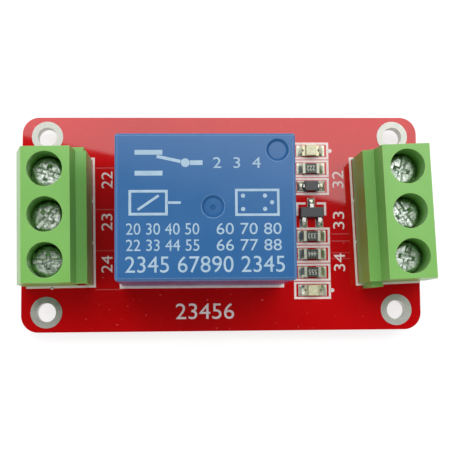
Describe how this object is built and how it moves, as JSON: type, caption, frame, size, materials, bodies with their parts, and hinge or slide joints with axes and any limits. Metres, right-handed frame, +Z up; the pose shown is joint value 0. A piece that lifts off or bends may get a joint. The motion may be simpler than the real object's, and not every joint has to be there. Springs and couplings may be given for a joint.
{
  "type": "relay module board",
  "caption": "Small red circuit board with a blue cube relay, green screw terminal blocks at both ends and a column of surface-mounted parts.",
  "frame": {"origin": "centre of the four fixing holes, on the underside of the circuit board", "axes": "+X along the board towards the input terminal block, +Y across the board towards the supply lamp, +Z up out of the component side"},
  "size_m": [0.0481, 0.0256, 0.0191],
  "materials": {
    "pcb": "glossy red solder mask on glass-fibre laminate",
    "tin": "tinned copper, satin",
    "solder": "bright solder",
    "case_blue": "moulded blue plastic, satin",
    "base_blue": "moulded dark blue plastic",
    "bobbin": "moulded ivory plastic",
    "winding": "enamelled copper wire",
    "iron": "nickel-plated soft iron",
    "bronze": "spring bronze",
    "contact": "polished silver alloy",
    "pin_tin": "tinned wire",
    "housing_green": "moulded green plastic, satin",
    "bar": "tinned brass strip",
    "screw": "bright zinc plating",
    "cage": "zinc-plated steel",
    "led_white": "white laminate",
    "led_lens": "milky yellow resin",
    "gilt": "gilt",
    "chip": "dark glaze on ceramic",
    "end_cap": "tinned",
    "epoxy": "moulded black epoxy"
  },
  "bodies": {
    "board": {"circuit_board": "pcb", "fixing_hole_plating": "tin", "pin_lands": "tin", "surface_pads": "tin", "relay_case": "case_blue", "relay_base": "base_blue", "relay_bobbin": "bobbin", "relay_winding": "winding", "relay_core": "iron", "relay_yoke": "iron", "relay_common_strip": "bronze", "relay_coil_pins": "pin_tin", "relay_open_strip": "bronze", "relay_closed_strip": "bronze", "relay_open_contact": "contact", "relay_closed_contact": "contact", "relay_spring_leg": "bronze", "relay_solder": "solder", "output_housing": "housing_green", "output_contact_bars": "bar", "output_solder": "solder", "input_housing": "housing_green", "input_contact_bars": "bar", "input_solder": "solder", "supply_led_carrier": "led_white", "supply_led_lens": "led_lens", "relay_led_carrier": "led_white", "relay_led_lens": "led_lens", "led_terminals": "gilt", "resistor_1": "chip", "resistor_2": "chip", "resistor_3": "chip", "resistor_4": "chip", "resistor_end_caps": "end_cap", "flyback_diode": "epoxy", "diode_leads": "pin_tin", "transistor": "epoxy", "transistor_leads": "pin_tin", "surface_solder": "solder"},
    "armature": {"relay_armature": "iron", "relay_contact_spring": "bronze", "relay_moving_contact": "contact"},
    "output_screw_1": {"output_screw_1": "screw"},
    "output_cage_1": {"output_cage_1": "cage"},
    "output_screw_2": {"output_screw_2": "screw"},
    "output_cage_2": {"output_cage_2": "cage"},
    "output_screw_3": {"output_screw_3": "screw"},
    "output_cage_3": {"output_cage_3": "cage"},
    "input_screw_1": {"input_screw_1": "screw"},
    "input_cage_1": {"input_cage_1": "cage"},
    "input_screw_2": {"input_screw_2": "screw"},
    "input_cage_2": {"input_cage_2": "cage"},
    "input_screw_3": {"input_screw_3": "screw"},
    "input_cage_3": {"input_cage_3": "cage"}
  },
  "joints": [
    {"name": "armature_swing", "type": "hinge", "parent": "board", "child": "armature", "pos_m": [0.00558, 0.0003, 0.0127], "axis": [0, -1, 0], "range_deg": [0, 3], "stiffness_Nm_per_rad": 0.01, "springref_deg": -11.46},
    {"name": "output_screw_1_turn", "type": "hinge", "parent": "board", "child": "output_screw_1", "pos_m": [-0.01986, 0.00515, 0.0076], "axis": [0, 0, 1], "range_deg": [-960, 0]},
    {"name": "output_cage_1_rise", "type": "slide", "parent": "board", "child": "output_cage_1", "axis": [0, 0, 1], "range_m": [0, 0.0012]},
    {"name": "output_screw_2_turn", "type": "hinge", "parent": "board", "child": "output_screw_2", "pos_m": [-0.0198, 0.00015, 0.0076], "axis": [0, 0, 1], "range_deg": [-960, 0]},
    {"name": "output_cage_2_rise", "type": "slide", "parent": "board", "child": "output_cage_2", "axis": [0, 0, 1], "range_m": [0, 0.0012]},
    {"name": "output_screw_3_turn", "type": "hinge", "parent": "board", "child": "output_screw_3", "pos_m": [-0.01974, -0.00485, 0.0076], "axis": [0, 0, 1], "range_deg": [-960, 0]},
    {"name": "output_cage_3_rise", "type": "slide", "parent": "board", "child": "output_cage_3", "axis": [0, 0, 1], "range_m": [0, 0.0012]},
    {"name": "input_screw_1_turn", "type": "hinge", "parent": "board", "child": "input_screw_1", "pos_m": [0.02063, -0.00465, 0.0076], "axis": [0, 0, 1], "range_deg": [-960, 0]},
    {"name": "input_cage_1_rise", "type": "slide", "parent": "board", "child": "input_cage_1", "axis": [0, 0, 1], "range_m": [0, 0.0012]},
    {"name": "input_screw_2_turn", "type": "hinge", "parent": "board", "child": "input_screw_2", "pos_m": [0.02045, 0.00035, 0.0076], "axis": [0, 0, 1], "range_deg": [-960, 0]},
    {"name": "input_cage_2_rise", "type": "slide", "parent": "board", "child": "input_cage_2", "axis": [0, 0, 1], "range_m": [0, 0.0012]},
    {"name": "input_screw_3_turn", "type": "hinge", "parent": "board", "child": "input_screw_3", "pos_m": [0.02027, 0.00535, 0.0076], "axis": [0, 0, 1], "range_deg": [-960, 0]},
    {"name": "input_cage_3_rise", "type": "slide", "parent": "board", "child": "input_cage_3", "axis": [0, 0, 1], "range_m": [0, 0.0012]}
  ],
  "couplings": [
    {"joint": "output_screw_1_turn", "follows": "output_cage_1_rise", "rad_per_m": -13960},
    {"joint": "output_screw_2_turn", "follows": "output_cage_2_rise", "rad_per_m": -13960},
    {"joint": "output_screw_3_turn", "follows": "output_cage_3_rise", "rad_per_m": -13960},
    {"joint": "input_screw_1_turn", "follows": "input_cage_1_rise", "rad_per_m": -13960},
    {"joint": "input_screw_2_turn", "follows": "input_cage_2_rise", "rad_per_m": -13960},
    {"joint": "input_screw_3_turn", "follows": "input_cage_3_rise", "rad_per_m": -13960}
  ]
}
